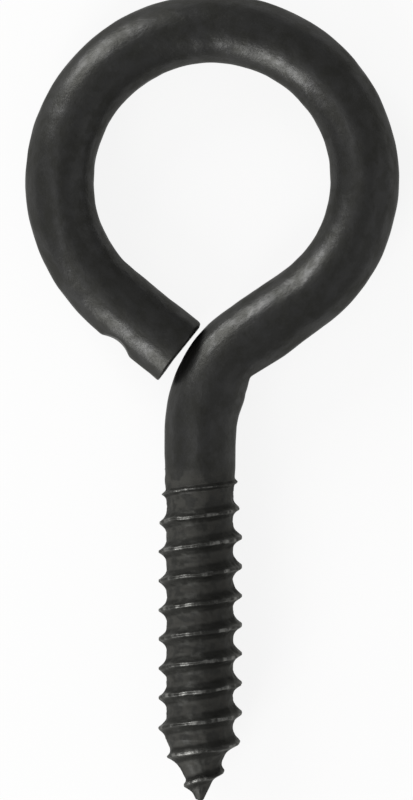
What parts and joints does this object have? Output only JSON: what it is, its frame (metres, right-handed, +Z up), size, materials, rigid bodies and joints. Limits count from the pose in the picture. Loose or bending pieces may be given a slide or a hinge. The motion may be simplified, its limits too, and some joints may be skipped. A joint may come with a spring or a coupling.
{
  "type": "screw eye",
  "caption": "Open eye of round wire bent on a wood-screw shank with a gimlet point, to hang or guide a hook, cord or chain.",
  "frame": {"origin": "on the surface that the screw eye lies on, under the middle of its whole length and of its eye", "axes": "+Y along the shank, from the point towards the eye; +X to the side that the neck leans to; +Z up, square to the plane of the eye"},
  "size_m": [0.0353, 0.0762, 0.0079],
  "materials": {
    "black_oxide_steel": "black oxide over steel wire, dark neutral grey, satin, with bare metal rubbed through on the thread's crests"
  },
  "bodies": {
    "root": {"screw_eye": "black_oxide_steel"}
  },
  "joints": []
}
